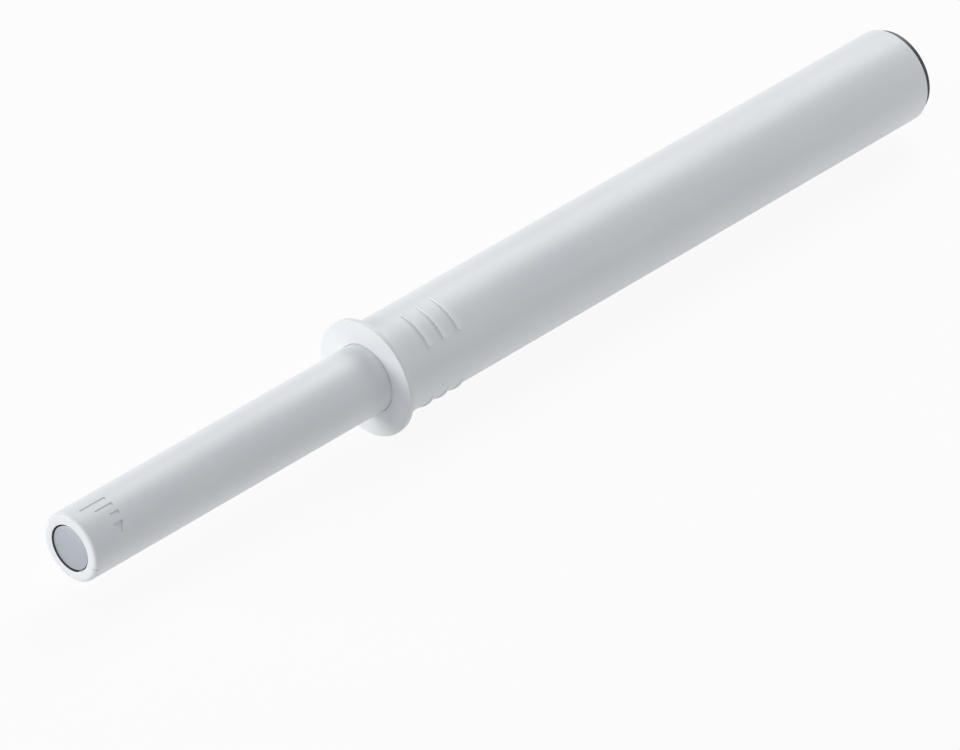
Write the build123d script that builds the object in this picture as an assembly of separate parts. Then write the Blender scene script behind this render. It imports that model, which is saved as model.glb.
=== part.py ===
"""Press-in touch latch with an adjustable magnetic plunger.

The frame has its origin at the centre of the flange's seat face. +Y runs along
the body to its rear, the plunger stands out towards -Y, and +Z is up.
All sizes are in millimetres, with the plunger fully out.
"""

import math
import os

from build123d import *

# Plunger sleeve and magnet
PLUNGER_D = 7.0
STROKE = 38.0
TIP_PROUD = 0.5
TIP_EDGE_R = 0.3
SLEEVE_WALL = 0.95
MAGNET_D = 4.46
MAGNET_LENGTH = 4.0
MAGNET_RECESS = 0.1
MAGNET_FLOOR_T = 1.5

# Housing
HOUSING_WALL = 0.8
BODY_EDGE_CHAMFER = 0.3
FLANGE_RIM = 1.05
FLANGE_T = 0.5
GUIDE_LENGTH = 6.0
GUIDE_MOUTH_CHAMFER = 0.1
STOP_SHOULDER = 0.59
GUIDE_RIB_W = 1.0
GUIDE_RIB_H = 0.4

# Barbs that hold the body in its drilled hole
BARB_SETS = 3
BARBS_PER_SET = 3
BARB_H = 0.2
BARB_RAMP = 1.2
BARB_FIRST_Y = 4.1
BARB_PITCH = 2.0
BARB_START_DEG = -10.0
BARB_SPAN_DEG = 62.0
BARB_ROOT_DEPTH = 0.05

# End cap
CAP_HEAD_INSET = 0.35
CAP_HEAD_T = 0.5
CAP_EDGE_CHAMFER = 0.12
CAP_PLUG_LENGTH = 2.0

# Carriage
LAND_LENGTH = 3.5
WAIST_LENGTH = 5.0
WAIST_DEPTH = 0.9
SPIGOT_REACH = 14.0
SPIGOT_CORE_D = 2.2
SPIGOT_CORE_INSET = 2.0

# Adjuster: a nub in the sleeve runs in a helical groove of the spigot
ADJUST_LEAD = 4.0
ADJUST_TURN_DEG = 270.0
NUB_R = 0.5
NUB_LENGTH = 0.45
NUB_Y = -6.5
RING_Y = 1.0
RING_W = 1.6
RING_T = 0.4
RING_GAP_DEG = 50.0
RING_KEY_W = 1.0
RING_KEY_H = 0.5

# Return spring; both wires are six-sided to keep their facets few
WIRE_SIDES = 6
SPRING_WIRE_D = 0.45
SPRING_COILS = 8.0

# Catch: spring wire on the carriage, heart-shaped track in the cam block
CATCH_WIRE_D = 0.7
CATCH_BEND_R = 0.7
CATCH_WIRE_Z = 0.5
CATCH_ANCHOR_INSET = 4.5
CATCH_ANCHOR_RISE = 1.9
FOLLOWER_DEPTH = 1.0
CAM_FRONT_GAP = 1.0
CAM_BAR_LENGTH = 14.0
CAM_FLANGE_T = 1.6
TRACK_FLOOR_GAP = 0.3
TRACK_W = 3.4
TRACK_END_WALL = 0.3
TRACK_END_GAP = 1.0
LATCH_OVERTRAVEL = 2.0
HEART_X = -0.4
HEART_LENGTH = 5.5
HEART_APEX_X = 0.2
HEART_APEX_R = 0.12
LOBE_R = 0.45
LOBE_OFFSET = 0.5
LOBE_LEAD = 0.1
CLEFT_FLARE_R = 0.6
CLEFT_FLARE_Y = 0.7
TOOTH_X = -0.55
TOOTH_W = 0.9
TOOTH_H = 0.9

# Clearances, each on one side
SLIDE_CLEARANCE = 0.06
SEAT_CLEARANCE = 0.03
KEY_CLEARANCE = 0.08
ADJUST_CLEARANCE = 0.05
GROOVE_CLEARANCE = 0.1
MAGNET_CLEARANCE = 0.15
SPRING_CLEARANCE = 0.12
WIRE_CLEARANCE = 0.05
CUT_MARGIN = 1.0

# Radii that follow from the sizes above, from the plunger outwards and then inwards
PLUNGER_R = PLUNGER_D / 2
GUIDE_R = PLUNGER_R + SLIDE_CLEARANCE
BORE_R = GUIDE_R + STOP_SHOULDER
BODY_R = BORE_R + HOUSING_WALL
FLANGE_R = BODY_R + FLANGE_RIM
RIB_TOP_R = BORE_R - GUIDE_RIB_H
LAND_R = BORE_R - SLIDE_CLEARANCE
SLEEVE_BORE_R = PLUNGER_R - SLEEVE_WALL
SPIGOT_R = SLEEVE_BORE_R - ADJUST_CLEARANCE
RING_INNER_R = SPIGOT_R + ADJUST_CLEARANCE
RING_OUTER_R = RING_INNER_R + RING_T
SPRING_OUTER_R = RIB_TOP_R - SPRING_CLEARANCE
CAM_BAR_R = SPRING_OUTER_R - SPRING_WIRE_D - SPRING_CLEARANCE
CATCH_WIRE_R = CATCH_WIRE_D / 2

# Places along the axis, from the tip to the rear face
TIP_Y = -FLANGE_T - TIP_PROUD - STROKE
STOP_Y = GUIDE_LENGTH
CARRIAGE_REAR_Y = STOP_Y + 2 * LAND_LENGTH + WAIST_LENGTH
CAM_FRONT_Y = CARRIAGE_REAR_Y + STROKE + CAM_FRONT_GAP
SPRING_SEAT_Y = CAM_FRONT_Y + CAM_BAR_LENGTH
CAP_INNER_Y = SPRING_SEAT_Y + CAM_FLANGE_T
BODY_LENGTH = CAP_INNER_Y + CAP_PLUG_LENGTH
TRACK_END_Y = SPRING_SEAT_Y - TRACK_END_WALL
FOLLOWER_IN_Y = TRACK_END_Y - TRACK_END_GAP
FOLLOWER_Y = FOLLOWER_IN_Y - STROKE
LATCH_Y = FOLLOWER_IN_Y - LATCH_OVERTRAVEL
ADJUST_TRAVEL = ADJUST_LEAD * ADJUST_TURN_DEG / 360


def turned(*outline):
    """Solid of revolution about the latch's axis from (radius, y) points."""
    return revolve(make_face(Polyline(*outline, close=True)), Axis.Y)


def cylinder_along_y(radius, start_y, end_y):
    """Round bar on the latch's axis."""
    return turned((0, start_y), (radius, start_y), (radius, end_y), (0, end_y))


def edge_ring(solid, y):
    """Circular edges of a turned solid that lie at one place on the axis."""
    return solid.edges().filter_by(GeomType.CIRCLE).filter_by_position(Axis.Y, y, y)


def side_keys(inner_r, outer_r, width, start_y, end_y):
    """Pair of straight keys at +X and -X, between two radii."""
    slab = Pos(0, (start_y + end_y) / 2, 0) * Box(2 * outer_r, end_y - start_y, width)
    return slab - cylinder_along_y(inner_r, start_y, end_y)


def barb_set(start_deg):
    """Row of barbs on one side: wedges, steep towards the flange, that rise from the body to a blunt end."""
    root_r = BODY_R - BARB_ROOT_DEPTH
    crest_r = BODY_R + BARB_H
    section = make_face(Polyline((root_r, 0), (crest_r, 0), (root_r, BARB_RAMP), close=True))
    wedge = revolve(section, Axis.Y, revolution_arc=BARB_SPAN_DEG)
    wedge = split(wedge, Plane.YZ.offset(BODY_R), keep=Keep.BOTTOM)
    ys = [BARB_FIRST_Y + row * BARB_PITCH for row in range(BARBS_PER_SET)]
    return [Pos(0, y, 0) * Rot(0, start_deg - 90, 0) * wedge for y in ys]


def housing():
    """Moulded tube with its flange, barbs, stepped bore and inner guide ribs."""
    body = turned(
        (0, -FLANGE_T),
        (FLANGE_R, -FLANGE_T),
        (FLANGE_R, 0),
        (BODY_R, 0),
        (BODY_R, BODY_LENGTH - BODY_EDGE_CHAMFER),
        (BODY_R - BODY_EDGE_CHAMFER, BODY_LENGTH),
        (0, BODY_LENGTH),
    )
    for index in range(BARB_SETS):
        body += barb_set(BARB_START_DEG + index * 360 / BARB_SETS)
    bore = turned(
        (0, -FLANGE_T),
        (GUIDE_R + GUIDE_MOUTH_CHAMFER, -FLANGE_T),
        (GUIDE_R, -FLANGE_T + GUIDE_MOUTH_CHAMFER),
        (GUIDE_R, STOP_Y),
        (BORE_R, STOP_Y),
        (BORE_R, BODY_LENGTH),
        (0, BODY_LENGTH),
    )
    wall_middle_r = (BORE_R + BODY_R) / 2
    ribs = side_keys(RIB_TOP_R, wall_middle_r, GUIDE_RIB_W, STOP_Y, CAP_INNER_Y)
    return body - bore + ribs


def end_cap():
    """Cap whose plug closes the rear bore and whose head covers the rear face."""
    plug_r = BORE_R - SEAT_CLEARANCE
    head_r = BODY_R - CAP_HEAD_INSET
    rear_y = BODY_LENGTH + CAP_HEAD_T
    return turned(
        (0, CAP_INNER_Y),
        (plug_r, CAP_INNER_Y),
        (plug_r, BODY_LENGTH),
        (head_r, BODY_LENGTH),
        (head_r, rear_y - CAP_EDGE_CHAMFER),
        (head_r - CAP_EDGE_CHAMFER, rear_y),
        (0, rear_y),
    )


def plunger_sleeve():
    """Plunger tube with a rounded tip, the magnet's pocket, the ring's groove and the adjusting nub."""
    rear_y = STOP_Y - ADJUST_CLEARANCE
    sleeve = cylinder_along_y(PLUNGER_R, TIP_Y, rear_y)
    sleeve = fillet(edge_ring(sleeve, TIP_Y), TIP_EDGE_R)
    pocket_end_y = TIP_Y + MAGNET_RECESS + MAGNET_LENGTH
    sleeve -= cylinder_along_y(MAGNET_D / 2 + MAGNET_CLEARANCE, TIP_Y, pocket_end_y)
    sleeve -= cylinder_along_y(SLEEVE_BORE_R, pocket_end_y + MAGNET_FLOOR_T, rear_y)
    groove_front_y = RING_Y - ADJUST_CLEARANCE
    groove_rear_y = RING_Y + RING_W + ADJUST_CLEARANCE
    sleeve -= cylinder_along_y(RING_OUTER_R + ADJUST_CLEARANCE, groove_front_y, groove_rear_y)
    nub_end_r = SPIGOT_R - NUB_LENGTH
    wall_middle_r = (SLEEVE_BORE_R + PLUNGER_R) / 2
    nub = Cylinder(NUB_R, wall_middle_r - nub_end_r, align=(Align.CENTER, Align.CENTER, Align.MIN))
    return sleeve + Pos(0, NUB_Y, nub_end_r) * nub


def magnet():
    """Disc magnet set back in the tip."""
    front_y = TIP_Y + MAGNET_RECESS
    return cylinder_along_y(MAGNET_D / 2, front_y, front_y + MAGNET_LENGTH)


def adjusting_groove():
    """Helical groove in which the nub brings the sleeve forward as it turns."""
    half_width = NUB_R + GROOVE_CLEARANCE
    depth = NUB_LENGTH + GROOVE_CLEARANCE
    end_deg = math.degrees(half_width / SPIGOT_R)
    end_rise = ADJUST_LEAD * end_deg / 360
    path = Helix(ADJUST_LEAD, ADJUST_TRAVEL + 2 * end_rise, SPIGOT_R, lefthand=True)
    section = Plane(path @ 0, x_dir=(1, 0, 0), z_dir=path % 0) * Rectangle(2 * depth, 2 * half_width)
    groove = sweep(section, path=path, is_frenet=True)
    nub_place = Plane((0, NUB_Y, 0), x_dir=(0, 0, 1), z_dir=(0, -1, 0))
    return nub_place * Pos(0, 0, -end_rise) * Rot(0, 0, end_deg) * groove


def carriage():
    """Slider with two guide lands, a waist that holds the catch wire and a spigot for the sleeve."""
    front_y = -SPIGOT_REACH
    waist_front_y = STOP_Y + LAND_LENGTH
    waist_rear_y = waist_front_y + WAIST_LENGTH
    slider = turned(
        (0, front_y),
        (SPIGOT_R, front_y),
        (SPIGOT_R, STOP_Y),
        (LAND_R, STOP_Y),
        (LAND_R, waist_front_y),
        (LAND_R - WAIST_DEPTH, waist_front_y),
        (LAND_R - WAIST_DEPTH, waist_rear_y),
        (LAND_R, waist_rear_y),
        (LAND_R, CARRIAGE_REAR_Y),
        (0, CARRIAGE_REAR_Y),
    )
    slider -= cylinder_along_y(SPIGOT_CORE_D / 2, front_y, STOP_Y - SPIGOT_CORE_INSET)
    slider -= side_keys(
        RIB_TOP_R - KEY_CLEARANCE,
        BODY_R,
        GUIDE_RIB_W + 2 * KEY_CLEARANCE,
        STOP_Y,
        CARRIAGE_REAR_Y,
    )
    slider -= adjusting_groove()
    slider -= ring_key(KEY_CLEARANCE, RING_Y - ADJUST_TRAVEL, RING_Y + RING_W)
    slot_front_y = STOP_Y + CATCH_ANCHOR_INSET - CATCH_WIRE_R - WIRE_CLEARANCE
    slot_floor_z = CATCH_WIRE_Z - CATCH_WIRE_R - WIRE_CLEARANCE
    wire_slot = Box(
        CATCH_WIRE_D + 2 * WIRE_CLEARANCE,
        CARRIAGE_REAR_Y - slot_front_y,
        BODY_R - slot_floor_z,
        align=(Align.CENTER, Align.MIN, Align.MIN),
    )
    return slider - Pos(0, slot_front_y, slot_floor_z) * wire_slot


def ring_key(clearance, start_y, end_y):
    """Key under the spigot that stops the adjuster ring from turning, or its slot with a clearance."""
    key = Box(
        RING_KEY_W + 2 * clearance,
        end_y - start_y + 2 * clearance,
        RING_KEY_H + RING_INNER_R - SPIGOT_R + RING_T / 2 + clearance,
        align=(Align.CENTER, Align.MIN, Align.MIN),
    )
    top_z = -SPIGOT_R + RING_KEY_H + clearance
    return Pos(0, start_y - clearance, top_z) * Rot(0, 180, 0) * key


def adjuster_ring():
    """Split ring in the sleeve's groove, keyed to the spigot, on which the sleeve turns."""
    rear_y = RING_Y + RING_W
    ring = cylinder_along_y(RING_OUTER_R, RING_Y, rear_y)
    ring -= cylinder_along_y(RING_INNER_R, RING_Y, rear_y)
    reach = RING_OUTER_R + CUT_MARGIN
    half_w = reach * math.tan(math.radians(RING_GAP_DEG / 2))
    gap = Plane.XZ * make_face(Polyline((0, 0), (half_w, reach), (-half_w, reach), close=True))
    ring -= extrude(Pos(0, rear_y, 0) * gap, amount=RING_W)
    return ring + ring_key(0, RING_Y, rear_y)


def return_spring():
    """Compression spring between the carriage and the cam block's flange."""
    wire_r = SPRING_WIRE_D / 2
    length = SPRING_SEAT_Y - CARRIAGE_REAR_Y - SPRING_WIRE_D
    path = Helix(
        length / SPRING_COILS,
        length,
        SPRING_OUTER_R - wire_r,
        center=(0, CARRIAGE_REAR_Y + wire_r, 0),
        direction=(0, 1, 0),
    )
    section = Plane(path @ 0, z_dir=path % 0) * RegularPolygon(wire_r, WIRE_SIDES)
    return sweep(section, path=path, is_frenet=True)


def catch_wire():
    """Spring wire hooked into the carriage, with its rear end bent down as the follower."""
    anchor_y = STOP_Y + CATCH_ANCHOR_INSET
    path = FilletPolyline(
        (0, anchor_y, CATCH_WIRE_Z + CATCH_ANCHOR_RISE),
        (0, anchor_y, CATCH_WIRE_Z),
        (0, FOLLOWER_Y, CATCH_WIRE_Z),
        (0, FOLLOWER_Y, -FOLLOWER_DEPTH),
        radius=CATCH_BEND_R,
    )
    section = Plane(path @ 0, z_dir=path % 0) * RegularPolygon(CATCH_WIRE_R, WIRE_SIDES)
    return sweep(section, path=path)


def heart():
    """Heart-shaped island, with its cleft open to the rear, that the follower runs round."""
    apex = Pos(HEART_APEX_X, LATCH_Y - HEART_LENGTH) * Circle(HEART_APEX_R)
    lobe = Circle(LOBE_R)
    left_lobe = Pos(HEART_X - LOBE_OFFSET, LATCH_Y + LOBE_LEAD) * lobe
    right_lobe = Pos(HEART_X + LOBE_OFFSET, LATCH_Y + LOBE_LEAD) * lobe
    outline = make_hull([*apex.edges(), *left_lobe.edges(), *right_lobe.edges()])
    seat = Pos(HEART_X, LATCH_Y) * Circle(CATCH_WIRE_R + WIRE_CLEARANCE)
    mouth = Pos(HEART_X, LATCH_Y + CLEFT_FLARE_Y) * Circle(CLEFT_FLARE_R)
    return outline - make_hull([*seat.edges(), *mouth.edges()])


def cam_block():
    """Half-round bar with the heart track in its flat, on a keyed flange that seats the spring."""
    bar = cylinder_along_y(CAM_BAR_R, CAM_FRONT_Y, SPRING_SEAT_Y)
    bar = split(bar, Plane.XY, keep=Keep.BOTTOM)
    track_front_y = CAM_FRONT_Y - CUT_MARGIN
    track = Pos(HEART_X, (track_front_y + TRACK_END_Y) / 2) * Rectangle(TRACK_W, TRACK_END_Y - track_front_y)
    tooth = make_face(
        Polyline(
            (TOOTH_X, TRACK_END_Y - TOOTH_H),
            (TOOTH_X + TOOTH_W, TRACK_END_Y),
            (TOOTH_X, TRACK_END_Y),
            close=True,
        )
    )
    bar -= extrude(track - heart() - tooth, amount=-FOLLOWER_DEPTH - TRACK_FLOOR_GAP)
    flange = cylinder_along_y(BORE_R - SEAT_CLEARANCE, SPRING_SEAT_Y, CAP_INNER_Y)
    flange -= side_keys(
        RIB_TOP_R - KEY_CLEARANCE,
        BODY_R,
        GUIDE_RIB_W + 2 * KEY_CLEARANCE,
        SPRING_SEAT_Y,
        CAP_INNER_Y,
    )
    return bar + flange


PIECES = {
    "housing": housing,
    "end_cap": end_cap,
    "plunger_sleeve": plunger_sleeve,
    "magnet": magnet,
    "carriage": carriage,
    "adjuster_ring": adjuster_ring,
    "return_spring": return_spring,
    "catch_wire": catch_wire,
    "cam_block": cam_block,
}

os.makedirs("parts", exist_ok=True)
for name, make in PIECES.items():
    export_step(make(), f"parts/{name}.step")
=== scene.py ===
"""Touch latch: modelled outer pieces, finishes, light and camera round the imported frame."""

import math

import bpy
from bpy.props import FloatProperty, FloatVectorProperty, IntProperty, PointerProperty
from bpy.types import Operator, Panel, PropertyGroup
from mathutils import Matrix, Vector


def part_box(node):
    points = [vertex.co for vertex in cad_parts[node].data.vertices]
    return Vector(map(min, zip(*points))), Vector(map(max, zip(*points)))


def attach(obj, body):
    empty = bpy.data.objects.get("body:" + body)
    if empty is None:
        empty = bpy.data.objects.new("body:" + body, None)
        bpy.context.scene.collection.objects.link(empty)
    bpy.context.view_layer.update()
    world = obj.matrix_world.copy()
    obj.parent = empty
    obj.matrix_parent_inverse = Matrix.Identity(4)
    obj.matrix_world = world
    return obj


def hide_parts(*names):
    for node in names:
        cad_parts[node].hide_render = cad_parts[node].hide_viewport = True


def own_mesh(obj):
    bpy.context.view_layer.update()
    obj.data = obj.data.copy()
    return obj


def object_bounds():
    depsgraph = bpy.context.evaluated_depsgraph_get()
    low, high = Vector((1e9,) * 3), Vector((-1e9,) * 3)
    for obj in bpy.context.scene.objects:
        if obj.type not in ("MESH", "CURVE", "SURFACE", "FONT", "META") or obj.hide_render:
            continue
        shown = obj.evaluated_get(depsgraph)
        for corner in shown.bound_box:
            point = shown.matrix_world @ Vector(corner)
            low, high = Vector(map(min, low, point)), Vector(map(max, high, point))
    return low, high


bl_info = {
    "name": "Touch latch",
    "version": (1, 0, 0),
    "blender": (4, 5, 0),
    "location": "View3D > Sidebar > Latch",
    "description": "Models and finishes a press-in touch latch round its CAD frame",
    "category": "Object",
}

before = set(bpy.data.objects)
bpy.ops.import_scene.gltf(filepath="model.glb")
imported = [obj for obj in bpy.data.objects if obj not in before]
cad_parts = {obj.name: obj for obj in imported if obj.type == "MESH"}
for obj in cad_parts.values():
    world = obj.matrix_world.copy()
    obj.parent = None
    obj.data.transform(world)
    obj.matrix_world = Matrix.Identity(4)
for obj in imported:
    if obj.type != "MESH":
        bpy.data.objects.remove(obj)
cad_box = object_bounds()
housing_low, housing_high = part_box("housing")
cap_low, cap_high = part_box("end_cap")
sleeve_low, sleeve_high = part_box("plunger_sleeve")
magnet_low, magnet_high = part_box("magnet")
spring_low, spring_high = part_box("return_spring")

MM = 0.001
AXIS = (0, 1, 0)
ACROSS = (1, 0, 1)
MERGE_DISTANCE = 0.0005 * MM
SHARP_ANGLE = math.radians(30)
TUBE_STEPS = 192
DISC_STEPS = 128
BARB_STEPS = 40
COIL_STEPS = 48
TRIANGLE_HEIGHT = 1.5
TRIANGLE_WIDTH = math.sqrt(3)


def length(name, description, metres):
    """Length property whose default is in metres."""
    return FloatProperty(
        name=name, description=description, default=metres, unit="LENGTH", precision=5
    )


def angle(name, description, degrees):
    """Angle property whose default is given in degrees."""
    return FloatProperty(
        name=name, description=description, default=math.radians(degrees), subtype="ANGLE"
    )


def count(name, description, number):
    """Whole number property of at least 1."""
    return IntProperty(name=name, description=description, default=number, min=1)


def colour(name, description, rgb):
    """Colour property with linear values."""
    return FloatVectorProperty(
        name=name, description=description, default=rgb, size=3, min=0, max=1, subtype="COLOR"
    )


def share(name, description, value):
    """Number from 0 to 1."""
    return FloatProperty(
        name=name, description=description, default=value, min=0, max=1, subtype="FACTOR"
    )


def power(name, description, watts):
    """Lamp power property in watts."""
    return FloatProperty(name=name, description=description, default=watts, unit="POWER")


def optic(name, description, millimetres):
    """Camera property in millimetres."""
    return FloatProperty(name=name, description=description, default=millimetres, unit="CAMERA")


def heading(name, description, vector):
    """Direction property from the latch's middle."""
    return FloatVectorProperty(
        name=name, description=description, default=vector, size=3, subtype="DIRECTION"
    )


class LatchBodySizes(PropertyGroup):
    """Sizes of the flanged body and its cap."""

    flange_radius: length("Flange radius", "Outer radius of the flange", housing_high.x)
    flange_front: length("Flange front", "Place of the flange's front on the axis", housing_low.y)
    body_radius: length("Body radius", "Outer radius of the tube", 4.95 * MM)
    body_rear: length("Body rear", "Place of the tube's rear face on the axis", housing_high.y)
    rear_chamfer: length("Rear chamfer", "Chamfer round the tube's rear edge", 0.3 * MM)
    bore_radius: length("Bore radius", "Radius of the bore behind the guide", 4.15 * MM)
    guide_radius: length("Guide radius", "Radius of the plunger's guide", 3.515 * MM)
    guide_rear: length("Guide rear", "Place of the shoulder behind the guide", 6.0 * MM)
    mouth_chamfer: length("Mouth chamfer", "Chamfer round the guide's mouth", 0.08 * MM)
    edge_softness: length("Edge softness", "Width of the small bevels on moulded edges", 0.055 * MM)
    rib_width: length("Rib width", "Width of the guide ribs in the bore", 1.0 * MM)
    rib_height: length("Rib height", "Height of the guide ribs above the bore", 0.4 * MM)
    barb_first: length("First barb", "Place of the first barb's crest", 4.1 * MM)
    barb_pitch: length("Barb pitch", "Distance from barb to barb", 2.0 * MM)
    barb_height: length("Barb height", "Height of a barb above the tube", 0.2 * MM)
    barb_ramp: length("Barb ramp", "Length of a barb's ramp", 1.2 * MM)
    barb_front: length("Barb front", "Length of a barb's steep front", 0.08 * MM)
    barb_lip: length("Barb lip", "Length of the steep lip behind a barb's crest", 0.13 * MM)
    barb_drop: length("Barb drop", "Height that the lip falls by", 0.12 * MM)
    barb_root: length("Barb root", "Depth of a barb's end under the tube's surface", 0.05 * MM)
    barb_sink: length("Barb sink", "Depth under the tube's surface where a barb starts", 0.01 * MM)
    barb_crest: length("Barb crest", "Width of the bevel on a barb's edges", 0.03 * MM)
    barb_span: angle("Barb span", "Arc that a barb covers", 62)
    barb_start: angle("Barb start", "Angle from the top where the first row starts", -10)
    barb_rows: count("Barb rows", "Rows of barbs round the tube", 3)
    barbs_per_row: count("Barbs in a row", "Barbs in one row", 3)
    cap_radius: length("Cap radius", "Radius of the cap's head", cap_high.x)
    cap_rear: length("Cap rear", "Place of the cap's rear face on the axis", cap_high.y)
    cap_front: length("Cap front", "Place of the plug's front face on the axis", cap_low.y)
    plug_radius: length("Plug radius", "Radius of the cap's plug", 4.12 * MM)
    cap_chamfer: length("Cap chamfer", "Chamfer round the cap's rear edge", 0.06 * MM)
    gate_radius: length("Gate radius", "Radius of the moulding gate's dimple", 0.7 * MM)
    gate_depth: length("Gate depth", "Depth of the moulding gate's dimple", 0.12 * MM)


class LatchPlungerSizes(PropertyGroup):
    """Sizes of the plunger, its marks, its magnet and the spring behind it."""

    radius: length("Plunger radius", "Outer radius of the plunger", sleeve_high.x)
    tip: length("Tip", "Place of the tip's face on the axis", sleeve_low.y)
    rear: length("Rear", "Place of the plunger's rear face on the axis", sleeve_high.y)
    tip_round: length("Tip round", "Radius of the tip's edge", 0.42 * MM)
    pocket_radius: length("Pocket radius", "Radius of the magnet's pocket", 2.38 * MM)
    pocket_end: length("Pocket end", "Place of the pocket's floor on the axis", magnet_high.y)
    floor_thickness: length("Floor thickness", "Wall between the pocket and the bore", 1.5 * MM)
    bore_radius: length("Bore radius", "Radius of the plunger's bore", 2.55 * MM)
    groove_radius: length("Groove radius", "Radius of the adjuster ring's groove", 3.0 * MM)
    groove_front: length("Groove front", "Front wall of the adjuster ring's groove", 0.95 * MM)
    groove_rear: length("Groove rear", "Rear wall of the adjuster ring's groove", 2.65 * MM)
    nub_radius: length("Nub radius", "Radius of the adjusting nub", 0.5 * MM)
    nub_place: length("Nub place", "Place of the adjusting nub on the axis", -6.5 * MM)
    nub_end: length("Nub end", "Distance of the nub's end from the axis", 2.05 * MM)
    edge_softness: length("Edge softness", "Width of the small bevels on moulded edges", 0.04 * MM)
    mark_width: length("Mark width", "Width of the adjusting marks", 0.33 * MM)
    mark_depth: length("Mark depth", "Depth of the adjusting marks", 0.1 * MM)
    mark_rear: length("Mark rear", "Place where the adjusting marks end on the axis", -34.53 * MM)
    mark_front: length("Mark front", "Place where the longest mark starts on the axis", -37.65 * MM)
    mark_shrink: length("Mark shrink", "Difference in length from mark to mark", 1.03 * MM)
    mark_start: angle("Mark start", "Angle of the longest adjusting mark from the top", 2)
    mark_step: angle("Mark step", "Angle from one adjusting mark to the next", 15.8)
    mark_count: count("Mark count", "Number of adjusting marks", 3)
    nick_width: length("Nick width", "Width of the parting nick in the tip's edge", 0.07 * MM)
    nick_depth: length("Nick depth", "Depth of the parting nick in the tip's edge", 0.1 * MM)
    nick_angle: angle("Nick angle", "Angle of the parting nick from the top", 106)
    arrow_place: length("Arrow place", "Place of the arrowhead on the axis", -35.3 * MM)
    arrow_width: length("Arrow width", "Width of the arrowhead's base", 1.25 * MM)
    arrow_reach: length("Arrow reach", "Length of the arrowhead", 1.05 * MM)
    arrow_spare: length("Arrow spare", "Extra height of the arrowhead's cutter", 0.1 * MM)
    arrow_angle: angle("Arrow angle", "Angle of the arrowhead's middle from the top", 53)
    magnet_radius: length("Magnet radius", "Radius of the magnet", magnet_high.x)
    magnet_front: length("Magnet front", "Place of the magnet's face on the axis", magnet_low.y)
    magnet_edge: length("Magnet edge", "Width of the magnet's soft edge", 0.04 * MM)
    spring_radius: length("Spring radius", "Radius to the middle of the spring's wire", 3.405 * MM)
    spring_wire: length("Spring wire", "Diameter of the spring's wire", 0.45 * MM)
    spring_front: length("Spring front", "Place of the spring's front end", spring_low.y)
    spring_rear: length("Spring rear", "Place of the spring's rear end", spring_high.y)
    spring_coils: count("Spring coils", "Turns of the spring", 8)
    spring_share: share("Spring share", "Share of its length that a pressed spring keeps", 0.282)


class LatchFinishes(PropertyGroup):
    """Colours and gloss of the latch's finishes."""

    white: colour("White plastic", "Colour of the body and plunger", (0.85, 0.872, 0.888))
    white_shade: colour("White shade", "Second tone in the white plastic", (0.81, 0.837, 0.857))
    white_roughness: share("White roughness", "Least roughness of the white plastic", 0.36)
    # Painted highlight: a paler colour on the barbs' crests stands in for light catching them.
    painted_highlight: colour("Highlight plastic", "Colour of the barbs' rubbed crests", (0.935, 0.957, 0.975))
    highlight_radius: length("Highlight radius", "Distance from the axis where highlighting starts", 5.01 * MM)
    highlight_front: length("Highlight front", "Place on the axis where highlighting starts", 1.0 * MM)
    # Painted shade: a near-black colour in the gap round the magnet stands in for the shadow there,
    # left off one side.
    painted_gap_shade: colour("Darkening", "Colour of the glue round the magnet", (0.1, 0.102, 0.107))
    gap_shade_radius: length("Glue radius", "Distance from the axis that the glue reaches to", 2.4 * MM)
    unshaded_side_angle: angle("Glue side", "Angle from the top of the side that has no glue", 80)
    gap_shade_end: length("Glue end", "Distance from the axis where the glue ends there", 0.6 * MM)
    dark: colour("Dark plastic", "Colour of the end cap", (0.022, 0.028, 0.031))
    dark_shade: colour("Dark shade", "Second tone in the dark plastic", (0.034, 0.04, 0.043))
    dark_roughness: share("Dark roughness", "Least roughness of the dark plastic", 0.42)
    dark_grain: length("Dark grain", "Depth of the dark plastic's grain", 0.01 * MM)
    natural: colour("Natural plastic", "Colour of the inner mouldings", (0.80, 0.79, 0.74))
    natural_shade: colour("Natural shade", "Second tone in the inner mouldings", (0.74, 0.72, 0.66))
    natural_roughness: share("Natural roughness", "Least roughness of the inner mouldings", 0.4)
    fine_grain: length("Fine grain", "Depth of the pale plastics' grain", 0.006 * MM)
    roughness_spread: share("Roughness spread", "Variation of the plastics' roughness", 0.1)
    plating: colour("Plating", "Colour of the magnet's plating", (0.455, 0.485, 0.525))
    plating_shade: colour("Plating shade", "Second tone in the plating", (0.43, 0.46, 0.5))
    steel: colour("Spring steel", "Colour of the drawn wire", (0.56, 0.57, 0.58))
    steel_shade: colour("Steel shade", "Second tone in the drawn wire", (0.44, 0.45, 0.47))


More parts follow.
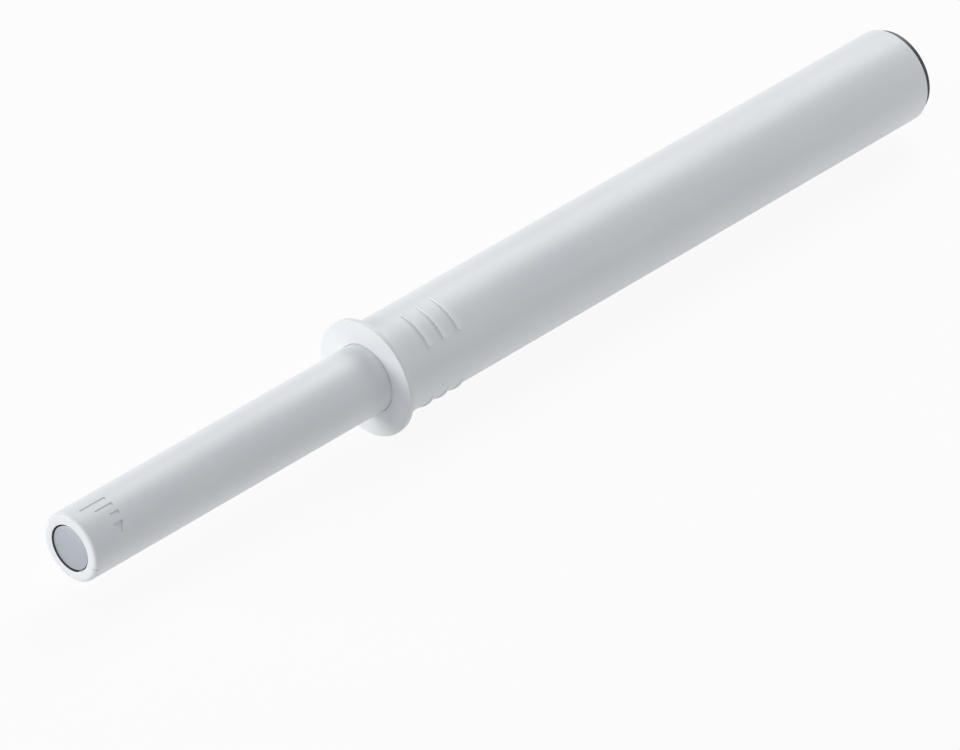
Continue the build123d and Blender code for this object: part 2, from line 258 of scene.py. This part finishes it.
class LatchStageSizes(PropertyGroup):
    """Floor, light and camera."""

    floor_size: length("Floor size", "Side of the floor", 4.0)
    floor_tone: colour("Floor tone", "Colour of the floor", (0.95, 0.95, 0.95))
    floor_glow: share("Floor glow", "Share of plain white in the floor that the camera sees", 0.9)
    floor_bounce: share("Floor bounce", "Share of plain white in the floor's light", 0.17)
    sky_tone: colour("Sky tone", "Colour of the soft light from all round", (0.92, 0.95, 1.0))
    sky_level: share("Sky level", "Strength of the light from all round", 0.32)
    key_direction: heading("Key direction", "Way to the low front lamp", (-0.52, -0.85, 0.18))
    key_power: power("Key power", "Power of the low front lamp", 2.55)
    key_width: length("Key width", "Width of the low front lamp", 0.5)
    key_height: length("Key height", "Height of the low front lamp", 0.25)
    key_distance: length("Key distance", "Distance of the low front lamp", 0.7)
    rear_direction: heading("Rear direction", "Way to the high rear lamp", (-0.15, 0.3, 0.35))
    rear_power: power("Rear power", "Power of the high rear lamp", 1.0)
    rear_size: length("Rear size", "Side of the high rear lamp", 0.3)
    rear_distance: length("Rear distance", "Distance of the high rear lamp", 0.48)
    tip_direction: heading("Tip direction", "Way to the lamp over the tip", (-0.14, -0.54, 0.83))
    tip_power: power("Tip power", "Power of the small lamp over the tip", 0.018)
    tip_size: length("Tip size", "Side of the small lamp over the tip", 0.05)
    tip_distance: length("Tip distance", "Distance of the small lamp over the tip", 0.145)
    fill_direction: heading("Fill direction", "Way to the small side lamp", (0.755, 0.642, 0.22))
    fill_power: power("Fill power", "Power of the small side lamp", 0.012)
    fill_size: length("Fill size", "Side of the small side lamp", 0.06)
    fill_distance: length("Fill distance", "Distance of the small side lamp", 0.159)
    azimuth: angle("Azimuth", "Camera's turn round the latch", 43.8375)
    elevation: angle("Elevation", "Camera's height above the horizon", 34.0386)
    distance: length("Distance", "Camera's distance from the latch's origin", 0.759028)
    aside: length("Aside", "Camera's sideways shift from the origin", 0.0105003)
    rise: length("Rise", "Camera's upward shift from the origin", 0.00011986)
    lens: optic("Lens", "Camera's focal length", 301.7535)
    sensor: optic("Sensor", "Width of the camera's sensor", 36)
    near: length("Near", "Nearest distance that the camera shows", 0.01)


def arc(centre_radius, centre_y, radius, start, end, steps):
    """Points (radius, y) on an arc; angles in degrees from outwards towards the rear."""
    angles = [math.radians(start + (end - start) * i / steps) for i in range(steps + 1)]
    return [(centre_radius + radius * math.cos(a), centre_y + radius * math.sin(a)) for a in angles]


def runs(radius, start, end, steps):
    """Points (radius, y) that divide a straight run along the axis."""
    return [(radius, start + (end - start) * i / steps) for i in range(steps + 1)]


def select_only(piece):
    """Selects one object and makes it active."""
    bpy.ops.object.select_all(action="DESELECT")
    piece.select_set(True)
    bpy.context.view_layer.objects.active = piece


def edit_all(piece):
    """Opens a piece in edit mode with everything selected."""
    select_only(piece)
    bpy.ops.object.mode_set(mode="EDIT")
    bpy.ops.mesh.select_all(action="SELECT")


def clean_up(piece):
    """Merges doubles and turns all faces outwards."""
    edit_all(piece)
    bpy.ops.mesh.remove_doubles(threshold=MERGE_DISTANCE)
    bpy.ops.mesh.normals_make_consistent(inside=False)
    bpy.ops.object.mode_set(mode="OBJECT")


def named(name):
    """Gives the object that was just added a name, for its mesh too."""
    piece = bpy.context.object
    piece.name = name
    piece.data.name = name
    return piece


def turned(name, outline, steps, closed, sweep=2 * math.pi):
    """Draws an outline of (radius, y) points and spins it about the latch's axis."""
    bpy.ops.object.select_all(action="DESELECT")
    bpy.ops.mesh.primitive_plane_add(size=MM)
    piece = named(name)
    edit_all(piece)
    bpy.ops.mesh.merge(type="CENTER")
    points = outline + outline[:1] if closed else outline
    bpy.ops.transform.translate(value=(points[0][0], points[0][1], 0))
    for (radius, y), (next_radius, next_y) in zip(points, points[1:]):
        bpy.ops.mesh.extrude_vertices_move(
            TRANSFORM_OT_translate={"value": (next_radius - radius, next_y - y, 0)}
        )
    bpy.ops.mesh.select_all(action="SELECT")
    bpy.ops.mesh.spin(steps=steps, angle=sweep, center=(0, 0, 0), axis=AXIS)
    bpy.ops.mesh.select_all(action="SELECT")
    bpy.ops.mesh.remove_doubles(threshold=MERGE_DISTANCE)
    bpy.ops.mesh.fill_holes(sides=0)
    bpy.ops.object.mode_set(mode="OBJECT")
    clean_up(piece)
    return piece


def soften(piece, width, segments):
    """Bevels the sharp edges of a piece."""
    select_only(piece)
    bpy.ops.object.modifier_add(type="BEVEL")
    bevel = piece.modifiers[-1]
    bevel.width = width
    bevel.segments = segments
    bevel.limit_method = "ANGLE"
    bevel.angle_limit = SHARP_ANGLE
    bpy.ops.object.modifier_apply(modifier=bevel.name)


def combine(piece, other, operation):
    """Joins another solid to a piece or cuts it out, and removes the other object."""
    select_only(piece)
    bpy.ops.object.modifier_add(type="BOOLEAN")
    boolean = piece.modifiers[-1]
    boolean.operation = operation
    boolean.solver = "EXACT"
    boolean.object = other
    bpy.ops.object.modifier_apply(modifier=boolean.name)
    bpy.data.objects.remove(other)


def settle(piece):
    """Puts a piece's place into its mesh and leaves its object at the origin."""
    select_only(piece)
    bpy.ops.object.transform_apply(location=True, rotation=True, scale=True)


def shade(piece):
    """Smooth shading with sharp edges kept."""
    select_only(piece)
    bpy.ops.object.shade_smooth_by_angle(angle=SHARP_ANGLE)


def dress(piece, material, body, node):
    """Gives a finished piece its material and its place in the frame."""
    piece.data.materials.clear()
    piece.data.materials.append(material)
    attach(piece, body)
    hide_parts(node)


def new_material(name):
    """Material with a Principled shader, its node tree and Object coordinates."""
    material = bpy.data.materials.new(name)
    material.use_nodes = True
    tree = material.node_tree
    shader = tree.nodes["Principled BSDF"]
    coords = tree.nodes.new("ShaderNodeTexCoord").outputs["Object"]
    return material, tree, shader, coords


def noise(tree, coords, scale, detail):
    """Noise texture's factor at a scale in features per metre."""
    node = tree.nodes.new("ShaderNodeTexNoise")
    node.inputs["Scale"].default_value = scale
    node.inputs["Detail"].default_value = detail
    tree.links.new(coords, node.inputs["Vector"])
    return node.outputs["Fac"]


def stretched(tree, coords, scale):
    """Object coordinates scaled along each axis."""
    node = tree.nodes.new("ShaderNodeMapping")
    node.inputs["Scale"].default_value = scale
    tree.links.new(coords, node.inputs["Vector"])
    return node.outputs["Vector"]


def tone(tree, shader, factor, first, second, low, high):
    """Colour ramp between two tones into the base colour."""
    ramp = tree.nodes.new("ShaderNodeValToRGB")
    ramp.color_ramp.elements[0].position = low
    ramp.color_ramp.elements[0].color = (*first, 1)
    ramp.color_ramp.elements[1].position = high
    ramp.color_ramp.elements[1].color = (*second, 1)
    tree.links.new(factor, ramp.inputs["Fac"])
    tree.links.new(ramp.outputs["Color"], shader.inputs["Base Color"])


def gloss(tree, shader, factor, low, high):
    """Roughness that varies between two values."""
    ranged = tree.nodes.new("ShaderNodeMapRange")
    ranged.inputs["To Min"].default_value = low
    ranged.inputs["To Max"].default_value = high
    tree.links.new(factor, ranged.inputs["Value"])
    tree.links.new(ranged.outputs["Result"], shader.inputs["Roughness"])


def grain(tree, shader, factor, strength, depth):
    """Fine surface relief."""
    bump = tree.nodes.new("ShaderNodeBump")
    bump.inputs["Strength"].default_value = strength
    bump.inputs["Distance"].default_value = depth
    tree.links.new(factor, bump.inputs["Height"])
    tree.links.new(bump.outputs["Normal"], shader.inputs["Normal"])


def moulded_plastic(name, first, second, roughness, spread, grain_depth):
    """Satin moulding with a faint flow mottle and a fine eroded grain."""
    material, tree, shader, coords = new_material(name)
    flow = noise(tree, stretched(tree, coords, scale=(1, 0.25, 1)), scale=260, detail=4)
    fine = noise(tree, coords, scale=9000, detail=3)
    tone(tree, shader, flow, first, second, low=0.35, high=0.7)
    gloss(tree, shader, flow, low=roughness, high=roughness + spread)
    grain(tree, shader, fine, strength=0.25, depth=grain_depth)
    return material


def zone(tree, vector, measure, direction, test, limit):
    """1 where a vector's length, or its share along a direction, is on one side of a limit."""
    amount = tree.nodes.new("ShaderNodeVectorMath")
    amount.operation = measure
    tree.links.new(vector, amount.inputs[0])
    amount.inputs[1].default_value = direction
    compare = tree.nodes.new("ShaderNodeMath")
    compare.operation = test
    compare.inputs[1].default_value = limit
    tree.links.new(amount.outputs["Value"], compare.inputs[0])
    return compare.outputs["Value"]


def tint(tree, first_zone, second_zone, rgb):
    """Puts a colour over the base colour where two zones meet."""
    base = tree.nodes["Principled BSDF"].inputs["Base Color"]
    both = tree.nodes.new("ShaderNodeMath")
    both.operation = "MULTIPLY"
    tree.links.new(first_zone, both.inputs[0])
    tree.links.new(second_zone, both.inputs[1])
    mix = tree.nodes.new("ShaderNodeMixRGB")
    mix.inputs["Color2"].default_value = (*rgb, 1)
    tree.links.new(both.outputs["Value"], mix.inputs["Fac"])
    tree.links.new(base.links[0].from_socket, mix.inputs["Color1"])
    tree.links.new(mix.outputs["Color"], base)


def white_plastic(looks):
    """Satin white with a painted highlight on the barbs' crests, and painted shade in the gap round
    the magnet on all but one side.
    """
    material = moulded_plastic(
        "satin_white",
        looks.white,
        looks.white_shade,
        looks.white_roughness,
        looks.roughness_spread,
        looks.fine_grain,
    )
    tree = material.node_tree
    coords = tree.nodes["Texture Coordinate"].outputs["Object"]
    across = stretched(tree, coords, ACROSS)
    unshaded_side = (math.sin(looks.unshaded_side_angle), 0, math.cos(looks.unshaded_side_angle))
    # Painted highlight: paler colour on the barbs' crests, standing in for light catching them.
    outside = zone(tree, across, "LENGTH", AXIS, "GREATER_THAN", looks.highlight_radius)
    behind = zone(tree, coords, "DOT_PRODUCT", AXIS, "GREATER_THAN", looks.highlight_front)
    tint(tree, outside, behind, looks.painted_highlight)
    # Painted shade: near-black colour on the pocket's wall round the magnet, standing in for the
    # shadow in the gap, left off the side at the given angle.
    inside = zone(tree, across, "LENGTH", AXIS, "LESS_THAN", looks.gap_shade_radius)
    gap_shade_zone = zone(tree, across, "DOT_PRODUCT", unshaded_side, "LESS_THAN", looks.gap_shade_end)
    tint(tree, inside, gap_shade_zone, looks.painted_gap_shade)
    return material


def plated_metal(name, first, second):
    """Nickel plating with faint grinding rings."""
    material, tree, shader, coords = new_material(name)
    shader.inputs["Metallic"].default_value = 1
    rings = tree.nodes.new("ShaderNodeTexWave")
    rings.wave_type = "RINGS"
    rings.rings_direction = "Y"
    rings.inputs["Scale"].default_value = 2600
    rings.inputs["Distortion"].default_value = 3
    rings.inputs["Detail"].default_value = 2
    tree.links.new(coords, rings.inputs["Vector"])
    cloud = noise(tree, coords, scale=1400, detail=5)
    tone(tree, shader, cloud, first, second, low=0.3, high=0.7)
    gloss(tree, shader, cloud, low=0.38, high=0.42)
    grain(tree, shader, rings.outputs["Fac"], strength=0.12, depth=0.004 * MM)
    return material


def drawn_wire(name, first, second):
    """Drawn steel wire with fine lines."""
    material, tree, shader, coords = new_material(name)
    shader.inputs["Metallic"].default_value = 1
    lines = noise(tree, stretched(tree, coords, scale=(1, 6, 1)), scale=2600, detail=4)
    tone(tree, shader, lines, first, second, low=0.35, high=0.65)
    gloss(tree, shader, lines, low=0.26, high=0.4)
    grain(tree, shader, lines, strength=0.15, depth=0.006 * MM)
    return material


made_finishes = {}


def finish(key):
    """The material of a finish, made once."""
    looks = bpy.context.scene.latch_finishes
    makers = {
        "white_plastic": lambda: white_plastic(looks),
        "dark_plastic": lambda: moulded_plastic(
            "satin_black",
            looks.dark,
            looks.dark_shade,
            looks.dark_roughness,
            looks.roughness_spread,
            looks.dark_grain,
        ),
        "natural_plastic": lambda: moulded_plastic(
            "natural_moulding",
            looks.natural,
            looks.natural_shade,
            looks.natural_roughness,
            looks.roughness_spread,
            looks.fine_grain,
        ),
        "magnet_plating": lambda: plated_metal(
            "plated_magnet", looks.plating, looks.plating_shade
        ),
        "spring_steel": lambda: drawn_wire("drawn_steel", looks.steel, looks.steel_shade),
    }
    if key not in made_finishes:
        made_finishes[key] = makers[key]()
    return made_finishes[key]


class LATCH_OT_flanged_body(Operator):
    """Turns the flanged tube, joins its barbs and guide ribs and finishes it"""

    bl_idname = "latch.flanged_body"
    bl_label = "Flanged body"

    def add_barb(self, size, crest_y, direction):
        """Wedge on the tube, steep towards the flange, that rises to a blunt end."""
        root = size.body_radius - size.barb_root
        ramp_slope = (size.barb_height + size.barb_root) / size.barb_ramp
        crest = size.body_radius + size.barb_height - ramp_slope * size.barb_front
        outline = [
            (root, crest_y),
            (crest, crest_y + size.barb_front),
            (crest - size.barb_drop, crest_y + size.barb_front + size.barb_lip),
            (root, crest_y + size.barb_ramp),
        ]
        barb = turned("barb", outline, BARB_STEPS, closed=True, sweep=size.barb_span)
        soften(barb, size.barb_crest, segments=2)
        middle = sum((vertex.co for vertex in barb.data.vertices), Vector())
        spun = math.atan2(middle.x, middle.z)
        barb.rotation_euler = (0, direction + size.barb_span / 2 - spun, 0)
        settle(barb)
        combine(barb, self.add_rise(size, crest_y, direction), "DIFFERENCE")
        return barb

    def add_rise(self, size, crest_y, direction):
        """Cutter with a flat side just under the tube's surface, along which a barb rises."""
        # four ramps wide, so that it clears the barb on every other side
        side = 4 * size.barb_ramp
        outwards = Vector((math.sin(direction), 0, math.cos(direction)))
        reach = size.body_radius - size.barb_sink + side / 2
        bpy.ops.object.select_all(action="DESELECT")
        bpy.ops.mesh.primitive_cube_add(
            size=side,
            location=outwards * reach + Vector((0, crest_y, 0)),
            rotation=(0, direction, 0),
        )
        cutter = bpy.context.object
        settle(cutter)
        return cutter

    def add_rib(self, size, side):
        """Straight guide rib on the bore's wall, with its root in the wall."""
        outer = (size.bore_radius + size.body_radius) / 2
        inner = size.bore_radius - size.rib_height
        run = size.cap_front - size.guide_rear
        bpy.ops.object.select_all(action="DESELECT")
        bpy.ops.mesh.primitive_cube_add(
            size=1,
            location=(side * (inner + outer) / 2, size.guide_rear + run / 2, 0),
            scale=(outer - inner, run, size.rib_width),
        )
        rib = bpy.context.object
        settle(rib)
        return rib

    def execute(self, context):
        size = context.scene.latch_body
        barbs_end = size.barb_first + size.barb_pitch * size.barbs_per_row
        rear = size.body_rear
        outline = [
            (size.guide_radius + size.mouth_chamfer, size.flange_front),
            (size.flange_radius, size.flange_front),
            (size.flange_radius, 0),
            *runs(size.body_radius, 0, barbs_end, steps=24),
            *runs(size.body_radius, barbs_end, rear - size.rear_chamfer, steps=12)[1:],
            (size.body_radius - size.rear_chamfer, rear),
            (size.bore_radius, rear),
            (size.bore_radius, size.guide_rear),
            (size.guide_radius, size.guide_rear),
            (size.guide_radius, size.flange_front + size.mouth_chamfer),
        ]
        piece = turned("flanged_body", outline, TUBE_STEPS, closed=True)
        soften(piece, size.edge_softness, segments=3)
        for side in (-1, 1):
            combine(piece, self.add_rib(size, side), "UNION")
        for row in range(size.barb_rows):
            direction = size.barb_start + row * 2 * math.pi / size.barb_rows
            for index in range(size.barbs_per_row):
                crest_y = size.barb_first + index * size.barb_pitch
                combine(piece, self.add_barb(size, crest_y, direction), "UNION")
        shade(piece)
        dress(piece, finish("white_plastic"), "housing", "housing")
        return {"FINISHED"}


class LATCH_OT_rear_cap(Operator):
    """Turns the dark cap that closes the tube's rear end"""

    bl_idname = "latch.rear_cap"
    bl_label = "Rear cap"

    def execute(self, context):
        size = context.scene.latch_body
        rear = size.cap_rear
        outline = [
            (0, size.cap_front),
            (size.plug_radius, size.cap_front),
            (size.plug_radius, size.body_rear),
            (size.cap_radius, size.body_rear),
            (size.cap_radius, rear - size.cap_chamfer),
            (size.cap_radius - size.cap_chamfer, rear),
            (size.gate_radius + size.gate_depth, rear),
            (size.gate_radius, rear - size.gate_depth),
            (0, rear - size.gate_depth),
        ]
        piece = turned("rear_cap", outline, DISC_STEPS, closed=False)
        soften(piece, size.edge_softness, segments=2)
        shade(piece)
        dress(piece, finish("dark_plastic"), "housing", "end_cap")
        return {"FINISHED"}


class LATCH_OT_plunger(Operator):
    """Turns the plunger, joins its adjusting nub and cuts the adjusting marks"""

    bl_idname = "latch.plunger"
    bl_label = "Plunger"

    def add_nub(self, size):
        """Round nub on the bore's wall, with its root in the wall."""
        root = (size.radius + size.bore_radius) / 2
        bpy.ops.object.select_all(action="DESELECT")
        bpy.ops.mesh.primitive_cylinder_add(
            vertices=32,
            radius=size.nub_radius,
            depth=root - size.nub_end,
            location=(0, size.nub_place, (root + size.nub_end) / 2),
        )
        nub = bpy.context.object
        settle(nub)
        return nub

    def place_cutter(self, size, cutter, direction, y):
        """Stands the middle of a cutter on the plunger's surface."""
        cutter.rotation_euler = (0, direction, 0)
        radius = size.radius
        cutter.location = (radius * math.sin(direction), y, radius * math.cos(direction))
        settle(cutter)
        return cutter

    def add_line(self, size, direction, front):
        """Cutter for one straight mark."""
        bpy.ops.object.select_all(action="DESELECT")
        bpy.ops.mesh.primitive_cube_add(
            size=1, scale=(size.mark_width, size.mark_rear - front, 2 * size.mark_depth)
        )
        cutter = bpy.context.object
        settle(cutter)
        return self.place_cutter(size, cutter, direction, (front + size.mark_rear) / 2)

    def add_nick(self, size):
        """Cutter for the small nick that the mould's parting leaves in the tip's edge."""
        bpy.ops.object.select_all(action="DESELECT")
        edge = 2 * size.tip_round
        bpy.ops.mesh.primitive_cube_add(
            size=1, scale=(size.nick_width, edge + size.nick_depth, edge)
        )
        cutter = bpy.context.object
        settle(cutter)
        return self.place_cutter(size, cutter, size.nick_angle, size.tip)

    def add_arrow(self, size):
        """Cutter for the arrowhead that points the way the plunger turns."""
        bpy.ops.object.select_all(action="DESELECT")
        bpy.ops.mesh.primitive_cylinder_add(
            vertices=3,
            radius=1,
            depth=2 * size.mark_depth + size.arrow_spare,
            rotation=(0, 0, -math.pi / 2),
        )
        cutter = bpy.context.object
        settle(cutter)
        cutter.scale = (size.arrow_reach / TRIANGLE_HEIGHT, size.arrow_width / TRIANGLE_WIDTH, 1)
        settle(cutter)
        return self.place_cutter(size, cutter, size.arrow_angle, size.arrow_place)

    def execute(self, context):
        size = context.scene.latch_plunger
        rear = size.rear
        tip_end = size.tip + size.tip_round
        marks_end = size.mark_rear + size.mark_width
        bore_front = size.pocket_end + size.floor_thickness
        outline = [
            (0, size.pocket_end),
            (size.pocket_radius, size.pocket_end),
            (size.pocket_radius, size.tip),
            *arc(
                size.radius - size.tip_round, tip_end, size.tip_round, start=-90, end=0, steps=12
            ),
            *runs(size.radius, tip_end, marks_end, steps=10)[1:],
            *runs(size.radius, marks_end, rear, steps=10)[1:],
            (size.bore_radius, rear),
            (size.bore_radius, size.groove_rear),
            (size.groove_radius, size.groove_rear),
            (size.groove_radius, size.groove_front),
            (size.bore_radius, size.groove_front),
            (size.bore_radius, bore_front),
            (0, bore_front),
        ]
        piece = turned("marked_plunger", outline, TUBE_STEPS, closed=False)
        soften(piece, size.edge_softness, segments=2)
        combine(piece, self.add_nub(size), "UNION")
        for index in range(size.mark_count):
            direction = size.mark_start + index * size.mark_step
            front = size.mark_front + index * size.mark_shrink
            combine(piece, self.add_line(size, direction, front), "DIFFERENCE")
        combine(piece, self.add_arrow(size), "DIFFERENCE")
        combine(piece, self.add_nick(size), "DIFFERENCE")
        shade(piece)
        dress(piece, finish("white_plastic"), "plunger", "plunger_sleeve")
        return {"FINISHED"}


class LATCH_OT_tip_magnet(Operator):
    """Models the disc magnet that sits back in the tip"""

    bl_idname = "latch.tip_magnet"
    bl_label = "Tip magnet"

    def execute(self, context):
        size = context.scene.latch_plunger
        depth = size.pocket_end - size.magnet_front
        bpy.ops.object.select_all(action="DESELECT")
        bpy.ops.mesh.primitive_cylinder_add(
            vertices=DISC_STEPS,
            radius=size.magnet_radius,
            depth=depth,
            location=(0, size.magnet_front + depth / 2, 0),
            rotation=(math.pi / 2, 0, 0),
        )
        piece = named("tip_magnet")
        settle(piece)
        soften(piece, size.magnet_edge, segments=3)
        shade(piece)
        dress(piece, finish("magnet_plating"), "plunger", "magnet")
        return {"FINISHED"}


class LATCH_OT_coil_spring(Operator):
    """Winds the return spring at its full length; in the latch it shortens as the plunger goes in
    """

    bl_idname = "latch.coil_spring"
    bl_label = "Coil spring"

    def execute(self, context):
        size = context.scene.latch_plunger
        wire_radius = size.spring_wire / 2
        start = size.spring_front + wire_radius
        run = size.spring_rear - wire_radius - start
        bpy.ops.object.select_all(action="DESELECT")
        bpy.ops.mesh.primitive_circle_add(
            vertices=12, radius=wire_radius, location=(size.spring_radius, start, 0)
        )
        piece = named("coil_spring")
        settle(piece)
        bpy.ops.object.modifier_add(type="SCREW")
        winding = piece.modifiers[-1]
        winding.axis = "Y"
        winding.angle = 2 * math.pi
        winding.iterations = size.spring_coils
        winding.screw_offset = run / size.spring_coils
        winding.steps = COIL_STEPS
        winding.render_steps = COIL_STEPS
        bpy.ops.object.modifier_apply(modifier=winding.name)
        edit_all(piece)
        bpy.ops.mesh.fill_holes(sides=0)
        bpy.ops.object.mode_set(mode="OBJECT")
        clean_up(piece)
        shade(piece)
        dress(piece, finish("spring_steel"), "carriage", "return_spring")
        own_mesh(piece)
        return {"FINISHED"}


class LATCH_OT_inner_pieces(Operator):
    """Finishes the CAD pieces inside the body"""

    bl_idname = "latch.inner_pieces"
    bl_label = "Inner pieces"

    def execute(self, context):
        slots = {
            "carriage": "natural_plastic",
            "adjuster_ring": "natural_plastic",
            "cam_block": "natural_plastic",
            "catch_wire": "spring_steel",
        }
        for node, slot in slots.items():
            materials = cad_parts[node].data.materials
            materials.clear()
            materials.append(finish(slot))
        return {"FINISHED"}


class LATCH_OT_stage(Operator):
    """Sets up the floor, the light and the camera"""

    bl_idname = "latch.stage"
    bl_label = "Stage"

    def add_floor(self, size):
        """Pale floor that the camera sees as white, with the latch's shadow kept."""
        bpy.ops.object.select_all(action="DESELECT")
        bpy.ops.mesh.primitive_plane_add(size=size.floor_size, location=(0, 0, cad_box[0].z))
        floor = bpy.context.object
        floor.name = "floor"
        material = bpy.data.materials.new("pale_floor")
        material.use_nodes = True
        tree = material.node_tree
        tree.nodes.remove(tree.nodes["Principled BSDF"])
        diffuse = tree.nodes.new("ShaderNodeBsdfDiffuse")
        diffuse.inputs["Color"].default_value = (*size.floor_tone, 1)
        glow = tree.nodes.new("ShaderNodeEmission")
        seen = self.seen_directly(tree)
        amount = tree.nodes.new("ShaderNodeMapRange")
        amount.inputs["To Min"].default_value = size.floor_bounce
        amount.inputs["To Max"].default_value = size.floor_glow
        tree.links.new(seen, amount.inputs["Value"])
        mix = tree.nodes.new("ShaderNodeMixShader")
        tree.links.new(amount.outputs["Result"], mix.inputs["Fac"])
        tree.links.new(diffuse.outputs["BSDF"], mix.inputs[1])
        tree.links.new(glow.outputs["Emission"], mix.inputs[2])
        tree.links.new(mix.outputs["Shader"], tree.nodes["Material Output"].inputs["Surface"])
        floor.data.materials.append(material)

    def seen_directly(self, tree):
        """1 for rays from the camera and for reflections, 0 for light on the latch."""
        path = tree.nodes.new("ShaderNodeLightPath")
        total = path.outputs["Is Camera Ray"]
        for ray in ("Is Glossy Ray", "Is Transmission Ray"):
            larger = tree.nodes.new("ShaderNodeMath")
            larger.operation = "MAXIMUM"
            tree.links.new(total, larger.inputs[0])
            tree.links.new(path.outputs[ray], larger.inputs[1])
            total = larger.outputs["Value"]
        return total

    def add_sky(self, size):
        """Soft light from all round, white to the camera."""
        world = bpy.data.worlds.new("studio")
        bpy.context.scene.world = world
        world.use_nodes = True
        tree = world.node_tree
        light = tree.nodes["Background"]
        light.inputs["Color"].default_value = (*size.sky_tone, 1)
        light.inputs["Strength"].default_value = size.sky_level
        white = tree.nodes.new("ShaderNodeBackground")
        white.inputs["Color"].default_value = (1, 1, 1, 1)
        mix = tree.nodes.new("ShaderNodeMixShader")
        tree.links.new(self.seen_directly(tree), mix.inputs["Fac"])
        tree.links.new(light.outputs["Background"], mix.inputs[1])
        tree.links.new(white.outputs["Background"], mix.inputs[2])
        tree.links.new(mix.outputs["Shader"], tree.nodes["World Output"].inputs["Surface"])

    def add_lamp(self, name, direction, distance, sides, watts):
        """Rectangular lamp that faces the latch's middle."""
        middle = Vector((0, (cad_box[0].y + cad_box[1].y) / 2, 0))
        aim = Vector(direction).normalized()
        bpy.ops.object.light_add(
            type="AREA",
            location=middle + aim * distance,
            rotation=aim.to_track_quat("Z", "Y").to_euler(),
        )
        lamp = bpy.context.object
        lamp.name = name
        lamp.data.shape = "RECTANGLE"
        lamp.data.size, lamp.data.size_y = sides
        lamp.data.energy = watts

    def add_camera(self, size):
        """Camera at the photograph's viewing angle, for a frame of 960 by 750."""
        turn, height = size.azimuth, size.elevation
        level = math.cos(height)
        back = Vector((math.sin(turn) * level, -math.cos(turn) * level, math.sin(height)))
        right = Vector((math.cos(turn), math.sin(turn), 0))
        up = back.cross(right)
        place = back * size.distance + right * size.aside + up * size.rise
        rotation = Matrix((right, up, back)).transposed().to_euler()
        bpy.ops.object.camera_add(location=place, rotation=rotation)
        camera = bpy.context.object
        camera.name = "camera"
        camera.data.sensor_fit = "HORIZONTAL"
        camera.data.sensor_width = size.sensor
        camera.data.lens = size.lens
        camera.data.clip_start = size.near
        bpy.context.scene.camera = camera

    def execute(self, context):
        size = context.scene.latch_stage
        self.add_floor(size)
        self.add_sky(size)
        self.add_lamp(
            "key",
            size.key_direction,
            size.key_distance,
            (size.key_width, size.key_height),
            size.key_power,
        )
        self.add_lamp(
            "rear",
            size.rear_direction,
            size.rear_distance,
            (size.rear_size, size.rear_size),
            size.rear_power,
        )
        self.add_lamp(
            "tip",
            size.tip_direction,
            size.tip_distance,
            (size.tip_size, size.tip_size),
            size.tip_power,
        )
        self.add_lamp(
            "fill",
            size.fill_direction,
            size.fill_distance,
            (size.fill_size, size.fill_size),
            size.fill_power,
        )
        self.add_camera(size)
        context.scene.view_settings.view_transform = "Standard"
        return {"FINISHED"}


class LATCH_PT_panel(Panel):
    """Lists the latch's sizes, finishes and pieces"""

    bl_idname = "LATCH_PT_panel"
    bl_label = "Touch latch"
    bl_space_type = "VIEW_3D"
    bl_region_type = "UI"
    bl_category = "Latch"

    def draw(self, context):
        layout = self.layout
        for operator in OPERATORS:
            layout.operator(operator.bl_idname)
        for name in GROUPS:
            box = layout.box()
            group = getattr(context.scene, name)
            for key in group.__annotations__:
                box.prop(group, key)


OPERATORS = (
    LATCH_OT_flanged_body,
    LATCH_OT_rear_cap,
    LATCH_OT_plunger,
    LATCH_OT_tip_magnet,
    LATCH_OT_coil_spring,
    LATCH_OT_inner_pieces,
    LATCH_OT_stage,
)

GROUPS = {
    "latch_body": LatchBodySizes,
    "latch_plunger": LatchPlungerSizes,
    "latch_finishes": LatchFinishes,
    "latch_stage": LatchStageSizes,
}


def register():
    """Registers the classes and the scene's property groups."""
    for group in GROUPS.values():
        bpy.utils.register_class(group)
    for name, group in GROUPS.items():
        setattr(bpy.types.Scene, name, PointerProperty(type=group))
    for cls in (*OPERATORS, LATCH_PT_panel):
        bpy.utils.register_class(cls)


def unregister():
    """Takes the classes and property groups off again."""
    for cls in (LATCH_PT_panel, *reversed(OPERATORS)):
        bpy.utils.unregister_class(cls)
    for name in GROUPS:
        delattr(bpy.types.Scene, name)
    for group in reversed(GROUPS.values()):
        bpy.utils.unregister_class(group)


def main():
    """Makes every piece and the stage."""
    register()
    bpy.ops.latch.flanged_body()
    bpy.ops.latch.rear_cap()
    bpy.ops.latch.plunger()
    bpy.ops.latch.tip_magnet()
    bpy.ops.latch.coil_spring()
    bpy.ops.latch.inner_pieces()
    bpy.ops.latch.stage()


if __name__ == "__main__":
    main()
